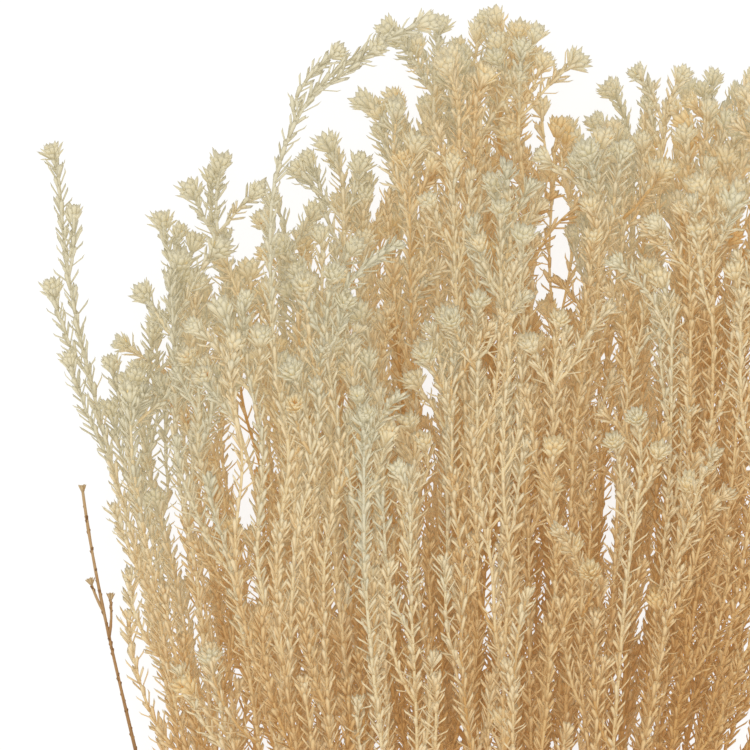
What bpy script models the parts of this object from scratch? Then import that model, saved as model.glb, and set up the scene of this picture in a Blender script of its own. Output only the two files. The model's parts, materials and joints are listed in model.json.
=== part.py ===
"""A bunch of dried staavia lying on a surface: 36 leafy branched stems and a bare one, held by a tie.

+Y runs from the cut ends to the crown, +Z is up from the surface, and the origin is on the surface,
under the middle of the tie. The stems stand in seven rows, packed like a honeycomb inside the tie and
fanned out above it, so a stem keeps its own room from end to end and never runs through another.
"""

import math
import random
from dataclasses import dataclass, field

import bmesh
import bpy
import numpy as np
from mathutils import Vector

MM = 0.001
SEED = 11

# The bunch as a whole
CUT_END = -140.0 * MM
CROWN_TOP = 540.0 * MM
LEAVES_FROM = 205.0 * MM
ROW_COUNTS = (4, 5, 6, 7, 6, 5, 4)
ROW_HALF_WIDTHS = (96.0, 111.0, 118.0, 124.0, 119.0, 111.0, 96.0)
ROW_DROPS = ((10.0, 55.0), (3.0, 30.0), (0.0, 14.0), (0.0, 8.0), (0.0, 20.0), (4.0, 60.0), (20.0, 135.0))
SPREAD_POWER = 2.0
RISE_POWER = 3.0
EASE = 0.04
CUT_SPLAY = 0.9

# Height of the crown over the bunch's width: (x, y) in millimetres
CROWN_OUTLINE = (
    (-123, 480), (-113, 440), (-100, 463), (-88, 468), (-78, 475), (-70, 486), (-62, 480), (-48, 462),
    (-33, 497), (-23, 510), (-7, 528), (3, 535), (23, 540), (37, 527), (40, 512), (53, 492), (63, 510),
    (77, 523), (97, 515), (110, 498), (123, 468),
)

# Places where the stems part and leave a gap: x, y, half width and half length, in millimetres
PARTINGS = (
    (-68, 388, 8, 24), (-60, 468, 5, 18), (37, 458, 8, 30), (33, 496, 8, 16), (47, 520, 8, 20),
    (-8, 405, 4, 22), (52, 385, 4, 30), (12, 350, 4, 18),
)

# Stems and their packing inside the tie
STEM_PITCH = 2.9 * MM
ROW_PITCH_TIE = STEM_PITCH * math.sqrt(3.0) / 2.0
ROW_PITCH_CROWN = 12.0 * MM
SWELL = 5.0 * MM
SWELL_WIDTH = 150.0 * MM
ROLL = 9.0 * MM
STEM_RADIUS = 1.45 * MM
STEM_TIP_RADIUS = 0.75 * MM
TWIG_RADIUS = 0.8 * MM
TWIG_TIP_RADIUS = 0.65 * MM
LOWEST_ROW = 4.6 * MM

# Side twigs: slots as shares of half a stem's room, and how a twig leaves its stem
OUTER_SLOT, INNER_SLOT = 0.74, 0.38
INNER_SHARE = 0.4
SHORT_TWIG_SHARE = 0.85
SHORT_TWIG_LENGTH = 15.0 * MM
TWIG_REACH = 26.0 * MM
SHORT_REACH = 9.0 * MM
FORK_SPACING = 7.0 * MM
FORK_RISE = 7.0 * MM
FORK_CLEAR = 1.7 * MM
LEAVING_LENGTH = 22.0 * MM
TWIG_BASE = 2.2 * MM
CURL_LENGTH = 14.0 * MM
ARCH_LENGTH = 75.0 * MM
ARCH_BENDS = (60.0, 45.0, 32.0, 22.0, 14.0, 7.0)

# Needles and flower heads
NEEDLE_LENGTH = 5.4 * MM
NEEDLE_BASE = 1.3 * MM
NEEDLE_STAGGER = 1.1 * MM
NEEDLE_ANGLES = (42.0, 30.0, 20.0)
PETAL_LENGTH = 4.6 * MM
PETAL_COUNT = 5
HEAD_DOME = 2.4 * MM
HEAD_VALLEY = 0.45
HEAD_ANGLES = (56.0, 46.0, 36.0, 26.0, 18.0)
WHORL_SPACING = 63.0 * MM
BEND_SPACING = 5.0 * MM
WHORL_TURN = math.radians(55.0)
THIRD = 2.0 * math.pi / 3.0

# How far rods of needles, twigs and heads keep apart, and the rods that stand for them
CLEARANCE = 0.5 * MM
OWN_CLEARANCE = 0.1 * MM
TWIG_CLEARANCE = 0.4 * MM
NEEDLE_ROD = 0.45 * MM
PETAL_ROD = 0.7 * MM
HEAD_ROD = 2.7 * MM
ROD_LENGTH = 25.0 * MM

# The tie: a flat elastic band
TIE_GAP = 0.3 * MM
TIE_THICKNESS = 1.2 * MM
TIE_WIDTH = 8.0 * MM
TIE_BEVEL = 0.3 * MM

STRAW = (0.80, 0.66, 0.43, 1.0)
BROWN = (0.36, 0.19, 0.08, 1.0)
LATEX = (0.66, 0.47, 0.26, 1.0)


@dataclass(eq=False)
class Twig:
    """A side twig, over y from its fork to its tip. offset and curl are (x, z)."""

    fork: float
    tip: float
    offset: tuple
    reach: float = TWIG_REACH
    curl: tuple = (0.0, 0.0)
    parent: object = None


@dataclass
class Stem:
    """One cut stem: its place in the tie, its place in the crown, its bends and its twigs."""

    name: str
    row: int
    x_tie: float
    x_crown: float
    room: float
    cut: float
    tip: float
    waves: tuple
    curl: tuple = (0.0, 0.0)
    arch: float = 0.0
    bare: bool = False
    twigs: list = field(default_factory=list)
    given: list = None


# Where a stem runs

def eased(t):
    return math.sqrt(t * t + EASE * EASE) - EASE


def outwards(y, power):
    """How far a stem has fanned out at y: 0 at the tie, 1 at the crown's top."""
    t = eased(max(y, 0.0) / CROWN_TOP) / eased(1.0)
    return 1.0 - (1.0 - min(t, 1.0)) ** power


def crown_height(x):
    xs, ys = zip(*CROWN_OUTLINE)
    return float(np.interp(x / MM, xs, ys)) * MM


def parted(x, y):
    """x, moved out of the gaps between the stems. Stems keep their order."""
    for gap_x, gap_y, half_width, half_length in PARTINGS:
        off = x / MM - gap_x
        near = math.exp(-((off / (3.2 * half_width)) ** 2) - ((y / MM - gap_y) / half_length) ** 2)
        x += math.tanh(off / (0.45 * half_width)) * near * half_width * 0.8 * MM
    return x


def swell(x, y, row):
    """How far the rows heave together across the bunch, the upper ones more."""
    across = 0.5 + 0.5 * math.cos(2.0 * math.pi * x / SWELL_WIDTH)
    heave = SWELL * across * (0.7 + 0.3 * math.sin(y / (60.0 * MM)))
    share = row / (len(ROW_COUNTS) - 1)
    return heave + share * ROLL * math.sin(x / (31.0 * MM) + y / (110.0 * MM))


def stem_point(stem, y):
    """A point of the stem's centre line at y."""
    out = outwards(y, SPREAD_POWER)
    up = outwards(y, RISE_POWER)
    splay = 1.0 + CUT_SPLAY * eased(max(-y, 0.0) / -CUT_END)
    (x_size, x_turns, x_start), (z_size, z_turns, z_start) = stem.waves
    sway = 5.0 * MM * math.sin(5.0 * y / CROWN_TOP + 2.3 * stem.row)
    x = stem.x_tie * splay + (stem.x_crown - stem.x_tie) * out
    x += out * (sway + x_size * math.sin(x_turns * y / CROWN_TOP + x_start))
    z_tie = TIE_THICKNESS + TIE_GAP + 0.5 * STEM_RADIUS + stem.row * ROW_PITCH_TIE * splay
    z = z_tie + (LOWEST_ROW + stem.row * ROW_PITCH_CROWN + swell(x, y, stem.row) - z_tie) * up
    z += up * z_size * math.sin(z_turns * y / CROWN_TOP + z_start)
    t = max(0.0, (y - (stem.tip - ARCH_LENGTH)) / ARCH_LENGTH)
    arched = (0.35 * t ** 1.3 + 0.65 * t ** 5) * stem.arch
    return Vector((parted(x, y) + arched, y, z))


def curled(point, y, tip, curl):
    """The point, bent sideways over the last stretch before the tip."""
    share = max(0.0, 1.0 - (tip - y) / CURL_LENGTH) ** 2
    return point + Vector((curl[0], 0.0, curl[1])) * share


def twig_point(stem, twig, y):
    """A point of a side twig's centre line at y."""
    start = twig_point(stem, twig.parent, y) if twig.parent else stem_point(stem, y)
    grown = 1.0 - math.exp(-max(y - twig.fork, 0.0) / twig.reach)
    room = outwards(y, SPREAD_POWER)
    point = start + Vector((twig.offset[0] * room, 0.0, twig.offset[1])) * grown
    return curled(point, y, twig.tip, twig.curl)


def fork_rise(stem, twig):
    """How far above its fork a twig has come clear of its parent."""
    longest = 0.6 * (twig.tip - twig.fork)
    rise = min(FORK_RISE, longest)
    while rise < longest and gap_at_fork(stem, twig, rise).length < FORK_CLEAR:
        rise = min(longest, rise + MM)
    return rise


def gap_at_fork(stem, twig, rise):
    """From the parent's centre line to the twig's, a rise above the fork."""
    y = twig.fork + rise
    return path_of(stem, twig)(y) - path_of(stem, twig.parent)(y)


def path_of(stem, twig):
    """The centre line of a twig, or of the leader where twig is None."""
    if twig:
        return lambda y: twig_point(stem, twig, y)
    return lambda y: curled(stem_point(stem, y), y, stem.tip, stem.curl)


# Room: what would run through another stem is drawn in, bent clear or left out

class Room:
    """The room that is taken so far: round-ended rods, each with a radius, its stem and its axis."""

    def __init__(self):
        self.waiting = []
        self.starts, self.ends, self.radii = np.zeros((0, 3)), np.zeros((0, 3)), np.zeros(0)
        self.stems, self.axes = np.zeros(0, dtype="U24"), np.zeros(0, dtype="U24")

    def take(self, start, end, radius, stem, axis=""):
        self.waiting.append((tuple(start), tuple(end), radius, stem, axis))

    def settle(self):
        """Lets the rods taken since the last time count."""
        if not self.waiting:
            return
        starts, ends, radii, stems, axes = (np.array(column) for column in zip(*self.waiting))
        self.starts, self.ends = np.vstack((self.starts, starts)), np.vstack((self.ends, ends))
        self.radii = np.concatenate((self.radii, radii))
        self.stems, self.axes = np.concatenate((self.stems, stems)), np.concatenate((self.axes, axes))
        self.waiting = []

    def is_free(self, start, end, radius, stem, axis=None):
        """Whether a rod keeps clear of the other stems and, where its axis is given, of its own stem's."""
        gap = self.distances(np.array(start), np.array(end)) - self.radii - radius
        if (gap[self.stems != stem] <= CLEARANCE).any() or min(start[2], end[2]) < 0.0:
            return False
        own = (self.stems == stem) & (self.axes != axis)
        return axis is None or not (gap[own] <= OWN_CLEARANCE).any()

    def distances(self, p, q):
        """Distances from the segment p-q to each rod, by samples along p-q."""
        best = np.full(len(self.radii), np.inf)
        runs = self.ends - self.starts
        squares = np.maximum((runs * runs).sum(1), 1e-12)
        for share in np.linspace(0.0, 1.0, 7):
            point = p + (q - p) * share
            t = np.clip(((point - self.starts) * runs).sum(1) / squares, 0.0, 1.0)
            best = np.minimum(best, np.linalg.norm(self.starts + runs * t[:, None] - point, axis=1))
        return best


def path_rods(path, start, end):
    """A path from start to end as short rods, and the rod that its head takes."""
    count = max(3, round((end - start) / ROD_LENGTH))
    points = [path(start + (end - start) * i / count) for i in range(count + 1)]
    crown = points[-1] + (points[-1] - path(end - 2.0 * MM)).normalized() * PETAL_LENGTH
    return list(zip(points, points[1:])), (points[-1], crown)


def axis_name(stem, twig):
    """The name of a twig's axis, or of the leader's where twig is None."""
    return f"{stem.name}_{stem.twigs.index(twig) + 1 if twig else 0}"


def take_path(room, stem, twig, start, end):
    """Takes the room of a leader or a twig and of its head."""
    rods, head = path_rods(path_of(stem, twig), start, end)
    for low, high in rods:
        room.take(low, high, TWIG_RADIUS, stem.name, axis_name(stem, twig))
    room.take(*head, HEAD_ROD, stem.name)
    room.settle()


def has_room(room, stem, twig):
    """Whether a twig keeps clear of all but its parent and, once it has left its parent, of that too."""
    rods, head = path_rods(path_of(stem, twig), twig.fork, twig.tip)
    parent, left = axis_name(stem, twig.parent), twig.fork + LEAVING_LENGTH
    for low, high in rods:
        exempt = "" if low.y > left else parent
        if not room.is_free(low, high, TWIG_RADIUS + TWIG_CLEARANCE, stem.name, exempt):
            return False
    return room.is_free(*head, HEAD_ROD, stem.name, "none")


# The plan of the bunch

def tip_curl(draw, row):
    """A random bend under a head. Heads of the upper rows lean up, towards the light."""
    top = len(ROW_COUNTS) - 1
    lift = {top: (1.0, 7.0), top - 1: (-1.0, 3.0), 0: (0.0, 2.0)}.get(row, (-2.0, 2.0))
    return draw.uniform(-4.0, 4.0) * MM, draw.uniform(*lift) * MM


def long_twigs(stem, draw):
    """The side twigs in the stem's outer and inner slots."""
    found = []
    for slot in (-OUTER_SLOT, OUTER_SLOT, -INNER_SLOT, INNER_SLOT):
        keep, rise, length = draw.random(), draw.random(), draw.random()
        offset = (slot * stem.room + draw.uniform(-1.0, 1.0) * MM, draw.uniform(-2.4, 2.4) * MM)
        curl = tip_curl(draw, stem.row)
        outer = abs(slot) == OUTER_SLOT
        fork = (225.0 + 75.0 * rise if outer else 285.0 + 95.0 * rise) * MM
        top = stem.tip - ARCH_LENGTH if stem.arch else stem.tip
        limit = min(top, crown_height(stem.x_crown + offset[0])) - 4.0 * MM
        tip = limit - (105.0 if outer else 80.0) * MM * length ** 1.3
        if (outer or keep < INNER_SHARE) and tip - fork > 55.0 * MM:
            found.append(Twig(fork, tip, offset, curl=curl))
    return found


def short_twigs(stem, draw):
    """The twigs that part from the leader or a long twig just under its head."""
    found = []
    for parent in [None, None, *stem.twigs]:
        keep, side, back = draw.random(), draw.choice((-1, 1)), draw.uniform(3.0, 14.0) * MM
        offset = (side * draw.uniform(6.5, 8.0) * MM, draw.uniform(-2.5, 2.5) * MM)
        curl = tip_curl(draw, stem.row)
        if keep < SHORT_TWIG_SHARE:
            tip = (parent.tip if parent else stem.tip) - back
            found.append(Twig(tip - SHORT_TWIG_LENGTH, tip, offset, SHORT_REACH, curl, parent))
    return found


def grow_twigs(stem, twigs, room, given=False):
    """Adds the twigs that find room. A long one is drawn in where it must be, a short one changes sides."""
    for twig in twigs:
        x, z = twig.offset
        siblings = [other for other in stem.twigs if other.parent is twig.parent]
        while any(abs(other.fork - twig.fork) < FORK_SPACING for other in siblings):
            twig.fork -= FORK_SPACING
        for share in (1.0, -1.0) if twig.reach == SHORT_REACH else (1.0, 0.85, 0.7):
            twig.offset = (x * share, z)
            if given or has_room(room, stem, twig):
                stem.twigs.append(twig)
                take_path(room, stem, twig, twig.fork, twig.tip)
                break


def shape_left_outlier(stem):
    """The stem that stands apart at the left of the crown, with heads down its side."""
    stem.x_crown, stem.tip, stem.curl = -120.0 * MM, 488.0 * MM, (-2.0 * MM, 1.0 * MM)
    stem.waves = ((7.0 * MM, 11.0, -4.95), stem.waves[1])
    stem.given = [
        Twig(fork * MM, tip * MM, (x * MM, z * MM), reach * MM)
        for fork, tip, x, z, reach in (
            (448, 467, 4.5, 1.5, 9), (414, 442, -7.0, -1.0, 12), (386, 419, -6.0, 2.0, 14),
            (318, 417, 9.0, 0.5, 24), (336, 402, 4.5, -2.5, 20), (262, 372, 13.0, 1.5, 30),
        )
    ]


def shape_bare_stem(stem):
    """The leafless brown stem at the left edge, with two short spurs."""
    stem.name, stem.bare = "bare_stem", True
    stem.x_crown, stem.tip = -133.0 * MM, 377.0 * MM
    stem.curl, stem.waves = (0.0, 0.0), ((2.5 * MM, 14.0, 1.0), stem.waves[1])
    stem.given = [
        Twig(328.0 * MM, 341.0 * MM, (5.0 * MM, 1.5 * MM), SHORT_REACH),
        Twig(336.0 * MM, 346.0 * MM, (-4.0 * MM, 1.0 * MM), SHORT_REACH),
    ]


def shape_arching_stem(stem):
    """The stem whose long leader arches over the crown to the right."""
    stem.x_crown += 13.0 * MM
    stem.tip, stem.arch, stem.curl = 530.0 * MM, 52.0 * MM, (0.0, -3.0 * MM)


BARE_ROW = 4
SPECIAL = {(3, 0): shape_left_outlier, (BARE_ROW, 0): shape_bare_stem, (6, 0): shape_arching_stem}


def plan_stem(row, place, number, draw):
    """One stem without its twigs."""
    count = ROW_COUNTS[row]
    evenly = count - 1 if row == BARE_ROW else count
    half_width = ROW_HALF_WIDTHS[row] * MM
    across = (2.0 * (place - count + evenly) + 1.0) / evenly - 1.0
    x_crown = half_width * across + draw.uniform(-3.0, 3.0) * MM
    waves = tuple(
        (size * draw.uniform(0.4, 1.0) * MM, draw.uniform(9.0, 16.0), draw.uniform(0.0, 6.28))
        for size in (2.4, 1.2)
    )
    stem = Stem(
        name=f"stem_{number:02d}", row=row, x_tie=(place - (count - 1) / 2.0) * STEM_PITCH, x_crown=x_crown,
        room=half_width / evenly, cut=CUT_END + draw.uniform(0.0, 24.0) * MM,
        tip=crown_height(x_crown) - draw.uniform(*ROW_DROPS[row]) * MM, waves=waves,
        curl=tip_curl(draw, row),
    )
    if (row, place) in SPECIAL:
        SPECIAL[(row, place)](stem)
    return stem


def plan_bunch():
    """Every stem of the bunch, row by row from the surface up, with the twigs that there is room for."""
    draw = random.Random(SEED)
    places = [(row, place) for row, count in enumerate(ROW_COUNTS) for place in range(count)]
    stems = [plan_stem(row, place, i + 1, draw) for i, (row, place) in enumerate(places)]
    room = Room()
    for stem in stems:
        take_path(room, stem, None, 0.0, stem.tip)
    for stem in stems:
        if stem.given is not None:
            grow_twigs(stem, stem.given, room, given=True)
    for grow in (long_twigs, short_twigs):
        for stem in stems:
            if stem.given is None:
                grow_twigs(stem, grow(stem, draw), room)
    return stems


# Axes: three-sided tubes, from which needles, twigs and a starry head are raised

@dataclass
class Ring:
    """A three-cornered section of an axis."""

    centre: Vector
    along: Vector
    side: Vector
    radius: float
    turn: float
    stagger: float = 0.0

    def direction(self, angle):
        return self.side * math.cos(angle) + self.side.cross(self.along) * math.sin(angle)

    def corner(self, k):
        out = self.direction(self.turn + THIRD * k) * self.radius
        return self.centre + out + self.along * (self.stagger * k)

    def angle_of(self, point):
        """The angle at which a point lies round this ring."""
        off = point - self.centre
        return math.atan2(off.dot(self.side.cross(self.along)), off.dot(self.side))


@dataclass
class Needle:
    """A needle raised from side k above ring number ring."""

    ring: int
    k: int
    root: Vector
    out: Vector
    along: Vector
    length: float
    apex: Vector = None


@dataclass
class Axis:
    """A leader or a twig as it is built: its rings, and what is raised from the sides between them."""

    name: str
    stem: str
    bare: bool
    spin: float
    head_angle: float = HEAD_ANGLES[0]
    rings: list = field(default_factory=list)
    needles: list = field(default_factory=list)
    forks: dict = field(default_factory=dict)


def whorl_levels(start, end, forks, bare):
    """An axis's whorls: one at each fork, with the twig that forks there, and even ones between."""
    levels = [(twig.fork, twig) for twig in forks]
    count = 0 if bare else max(1, round((end - start) / WHORL_SPACING))
    for i in range(count):
        y = start + (end - start) * (i + 0.7) / (count + 0.1)
        if all(abs(y - fork) > 0.4 * WHORL_SPACING for fork, _ in levels[:len(forks)]):
            levels.append((y, None))
    return levels


def turn_towards(angle, previous):
    """The turn nearest to the previous one that sets one of a ring's sides at the angle, and that side."""
    options = []
    for k in range(3):
        off = (angle - (k + 0.5) * THIRD - previous + math.pi) % (2.0 * math.pi) - math.pi
        options.append((abs(off), previous + off, k))
    _, turn, side = min(options)
    return turn, side


def make_axis(stem, twig, bends, whorls, draw):
    """The rings and needles of a twig, or of the leader where twig is None."""
    path = path_of(stem, twig)
    axis = Axis(axis_name(stem, twig), stem.name, stem.bare, draw.uniform(0.0, 6.28))
    thick, thin = (TWIG_RADIUS, TWIG_TIP_RADIUS) if twig else (STEM_RADIUS, STEM_TIP_RADIUS)
    start, neck = (twig.fork, twig.tip - 0.6 * MM) if twig else (0.0, stem.tip - 0.6 * MM)
    bends = [y for y in bends if all(abs(y - whorl) > BEND_SPACING for whorl, _ in whorls)]
    levels = [(y, False, None) for y in [*bends, neck]] + [(y, True, child) for y, child in whorls]
    turn, side = math.radians(90.0), Vector((1.0, 0.0, 0.0))
    for y, is_whorl, child in sorted(levels, key=lambda level: level[0]):
        along = (path(y + 0.5 * MM) - path(y - 0.5 * MM)).normalized()
        side = (side - along * side.dot(along)).normalized()
        radius = thick + (thin - thick) * max(0.0, (y - start) / (neck - start))
        ring = Ring(path(y), along, side, radius, turn)
        if not is_whorl:
            axis.rings.append(ring)
            continue
        fork_side, base = None, NEEDLE_BASE
        if child:
            away = gap_at_fork(stem, child, fork_rise(stem, child))
            turn, fork_side = turn_towards(ring.angle_of(ring.centre + away), turn)
            axis.forks[(len(axis.rings), fork_side)] = child
            base = TWIG_BASE
        else:
            turn += WHORL_TURN
        axis.rings.append(Ring(ring.centre - along * base, along, side, radius, turn, NEEDLE_STAGGER))
        axis.rings.append(Ring(ring.centre, along, side, radius, turn, NEEDLE_STAGGER))
        if not stem.bare:
            add_needles(axis, fork_side, draw)
    return axis


def add_needles(axis, fork_side, draw):
    """A needle on each side between the last two rings, but not where a twig leaves."""
    low, high = axis.rings[-2:]
    for k in range(3):
        length = NEEDLE_LENGTH * draw.uniform(0.85, 1.12)
        if k != fork_side:
            root = (low.corner(k) + high.corner((k + 1) % 3)) / 2.0
            out = high.direction(high.turn + THIRD * (k + 0.5))
            axis.needles.append(Needle(len(axis.rings) - 2, k, root, out, high.along, length))


def stem_axes(stem, draw):
    """The axes of one stem: a dictionary from its twigs, with None for the leader."""
    forks = {twig: [] for twig in (None, *stem.twigs)}
    for twig in stem.twigs:
        forks[twig.parent].append(twig)
    grip = 0.5 * TIE_WIDTH + 1.0 * MM
    bends = [stem.cut, -grip, grip, 40.0 * MM, 95.0 * MM, 150.0 * MM] + [230.0 * MM, 290.0 * MM] * stem.bare
    bends += [stem.tip - back * MM for back in ARCH_BENDS] * bool(stem.arch)
    whorls = whorl_levels(LEAVES_FROM, stem.tip - 8.0 * MM, forks[None], stem.bare)
    axes = {None: make_axis(stem, None, bends, whorls, draw)}
    for twig in stem.twigs:
        rise = fork_rise(stem, twig)
        start = twig.fork + rise + 4.0 * MM
        whorls = whorl_levels(start, max(start, twig.tip - 8.0 * MM), forks[twig], stem.bare)
        axes[twig] = make_axis(stem, twig, [twig.fork + rise], whorls, draw)
    return axes


def take_axes(axes, room):
    """Takes the room of a stem's axes. A twig's first stretch counts as its parent's."""
    for axis in axes.values():
        for low, high in zip(axis.rings, axis.rings[1:]):
            room.take(low.centre, high.centre, max(low.radius, high.radius), axis.stem, axis.name)
        for (ring, _), twig in axis.forks.items():
            room.take(axis.rings[ring].centre, axes[twig].rings[0].centre, TWIG_RADIUS, axis.stem, axis.name)


def petal_tips(axis, angle):
    """The petal tips of an axis's head, spread at an angle from the axis in degrees."""
    neck = axis.rings[-1]
    petals = 4 if axis.bare else PETAL_COUNT
    length = PETAL_LENGTH * (0.45 if axis.bare else 1.0)
    out, up = length * math.sin(math.radians(angle)), length * math.cos(math.radians(angle))
    return [
        neck.centre + neck.direction(axis.spin + 2.0 * math.pi * i / petals) * (neck.radius + out)
        + neck.along * (up + 0.4 * MM)
        for i in range(petals)
    ]


def open_head(axis, room):
    """Opens a head as wide as its neighbours leave room for."""
    neck = axis.rings[-1].centre
    for angle in HEAD_ANGLES:
        axis.head_angle = angle
        tips = petal_tips(axis, angle)
        if all(room.is_free(neck, tip, PETAL_ROD, axis.stem, axis.name) for tip in tips):
            break
    for tip in petal_tips(axis, axis.head_angle):
        room.take(neck, tip, PETAL_ROD, axis.stem, axis.name)
    room.settle()


def leans_in(axis, needle):
    """Whether a needle comes too near the stretch of its own axis that runs on above it."""
    low, high = (ring.centre for ring in axis.rings[needle.ring + 1:needle.ring + 3])
    along = (high - low).normalized()
    off = needle.apex - low
    return (off - along * off.dot(along)).length < axis.rings[needle.ring + 1].radius + NEEDLE_ROD


def set_needles(axis, room):
    """Spreads each needle as far as its neighbours leave room for, and leaves out one that finds none."""
    kept = []
    for needle in axis.needles:
        for angle in NEEDLE_ANGLES:
            turn = math.radians(angle)
            reach = needle.out * math.sin(turn) + needle.along * math.cos(turn)
            needle.apex = needle.root + reach * needle.length
            free = room.is_free(needle.root, needle.apex, NEEDLE_ROD, axis.stem, axis.name)
            if free and not leans_in(axis, needle):
                kept.append(needle)
                room.take(needle.root, needle.apex, NEEDLE_ROD, axis.stem, axis.name)
                break
    axis.needles = kept
    room.settle()


# Meshes

def stitch(bm, low, high):
    """Triangles between two loops of vertices, each a list of (angle, vertex) in turning order."""
    full = 2.0 * math.pi
    i = j = 0
    base = low[0][0]
    offset = min(range(len(high)), key=lambda n: (high[n][0] - base) % full)
    high = [((a - base) % full, v) for a, v in high[offset:] + high[:offset]]
    low = [((a - base) % full, v) for a, v in low]
    while i < len(low) or j < len(high):
        next_low = low[i + 1][0] if i + 1 < len(low) else full
        next_high = high[j + 1][0] if j + 1 < len(high) else full + high[0][0]
        a, b = low[i % len(low)][1], high[j % len(high)][1]
        if j >= len(high) or (i < len(low) and next_low <= next_high):
            bm.faces.new((a, low[(i + 1) % len(low)][1], b))
            i += 1
        else:
            bm.faces.new((a, high[(j + 1) % len(high)][1], b))
            j += 1


def add_head(bm, axis, neck_verts):
    """A starry head, flared out from the neck's three vertices."""
    neck = axis.rings[-1]
    tips = petal_tips(axis, axis.head_angle)
    step = 2.0 * math.pi / len(tips)
    dome = HEAD_DOME * (0.55 if axis.bare else 1.0)
    rim = []
    for i, tip in enumerate(tips):
        angle = axis.spin + step * i
        run = tip - neck.centre
        rise = run.dot(neck.along)
        reach = (run - neck.along * rise).length
        out = neck.direction(angle + step / 2.0) * (neck.radius + (reach - neck.radius) * HEAD_VALLEY)
        rim.append((angle, bm.verts.new(tip)))
        rim.append((angle + step / 2.0, bm.verts.new(neck.centre + out + neck.along * (0.62 * rise))))
    stitch(bm, ring_loop(neck, neck_verts), rim)
    top = bm.verts.new(neck.centre + neck.along * dome)
    for (_, a), (_, b) in zip(rim, rim[1:] + rim[:1]):
        bm.faces.new((a, b, top))


def base_loop(ring, verts):
    """The four vertices of a twig's base, each with its angle about the twig's first ring."""
    centre = sum((vert.co for vert in verts), Vector()) / 4.0
    quarter = math.pi / 2.0
    turns = [ring.angle_of(ring.centre + vert.co - centre) - quarter * i for i, vert in enumerate(verts)]
    start = math.atan2(sum(map(math.sin, turns)), sum(map(math.cos, turns)))
    return [(start + quarter * i, vert) for i, vert in enumerate(verts)]


def ring_loop(ring, verts):
    """The three vertices of a ring, each with its angle."""
    return [(ring.turn + THIRD * k, vert) for k, vert in enumerate(verts)]


def add_side(bm, side, twist):
    """Two triangles over four vertices, split so that the side bulges whichever way it is twisted."""
    a, b, c, d = side if twist >= 0.0 else side[1:] + side[:1]
    bm.faces.new((a, b, d))
    bm.faces.new((b, c, d))


def grow_axis(bm, axes, twig, base):
    """Adds an axis to the mesh, from the four vertices of its base on its parent, and all that it bears."""
    axis = axes[twig]
    loops = [[bm.verts.new(ring.corner(k)) for k in range(3)] for ring in axis.rings]
    if base:
        stitch(bm, base_loop(axis.rings[0], base), ring_loop(axis.rings[0], loops[0]))
    else:
        bm.faces.new(loops[0])
    raised = {(needle.ring, needle.k): needle for needle in axis.needles}
    for i, (low, high) in enumerate(zip(loops, loops[1:])):
        for k in range(3):
            side = (low[k], low[(k + 1) % 3], high[(k + 1) % 3], high[k])
            if (i, k) in axis.forks:
                grow_axis(bm, axes, axis.forks[(i, k)], side)
            elif (i, k) in raised:
                apex = bm.verts.new(raised[(i, k)].apex)
                for first, second in zip(side, side[1:] + side[:1]):
                    bm.faces.new((first, second, apex))
            else:
                add_side(bm, side, axis.rings[i + 1].turn - axis.rings[i].turn)
    add_head(bm, axis, loops[-1])


def make_material(name, colour, roughness):
    material = bpy.data.materials.new(name)
    material.use_nodes = True
    shader = material.node_tree.nodes["Principled BSDF"]
    shader.inputs["Base Color"].default_value = colour
    shader.inputs["Roughness"].default_value = roughness
    shader.inputs["Metallic"].default_value = 0.0
    material.diffuse_color = colour
    return material


def link(name, mesh, material, location):
    obj = bpy.data.objects.new(name, mesh)
    bpy.context.scene.collection.objects.link(obj)
    obj.location = location
    mesh.materials.clear()
    mesh.materials.append(material)
    return obj


def make_stem(stem, axes, material):
    """One solid of a stem's leader and its twigs."""
    origin = stem_point(stem, stem.cut)
    bm = bmesh.new()
    grow_axis(bm, axes, None, None)
    bmesh.ops.recalc_face_normals(bm, faces=bm.faces)
    bmesh.ops.translate(bm, verts=bm.verts, vec=-origin)
    mesh = bpy.data.meshes.new(stem.name)
    bm.to_mesh(mesh)
    bm.free()
    return link(stem.name, mesh, material, origin)


# The tie

def hull_of(points):
    """The convex outline of points (x, z), anticlockwise."""
    points = sorted(set(points))
    outline = []
    for run in (points, points[::-1]):
        side = []
        for p in run:
            while len(side) > 1 and turn_of(side[-2], side[-1], p) <= 1e-12:
                side.pop()
            side.append(p)
        outline += side[:-1]
    return outline


def turn_of(a, b, c):
    return (b[0] - a[0]) * (c[1] - a[1]) - (b[1] - a[1]) * (c[0] - a[0])


def tie_section():
    """The band's cross-section: (y, distance out from its inner face), once round."""
    half = TIE_WIDTH / 2.0
    side = [(half, 0.0), (half, TIE_THICKNESS - TIE_BEVEL), (half - TIE_BEVEL, TIE_THICKNESS)]
    return [(-y, out) for y, out in side] + side[::-1]


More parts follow.
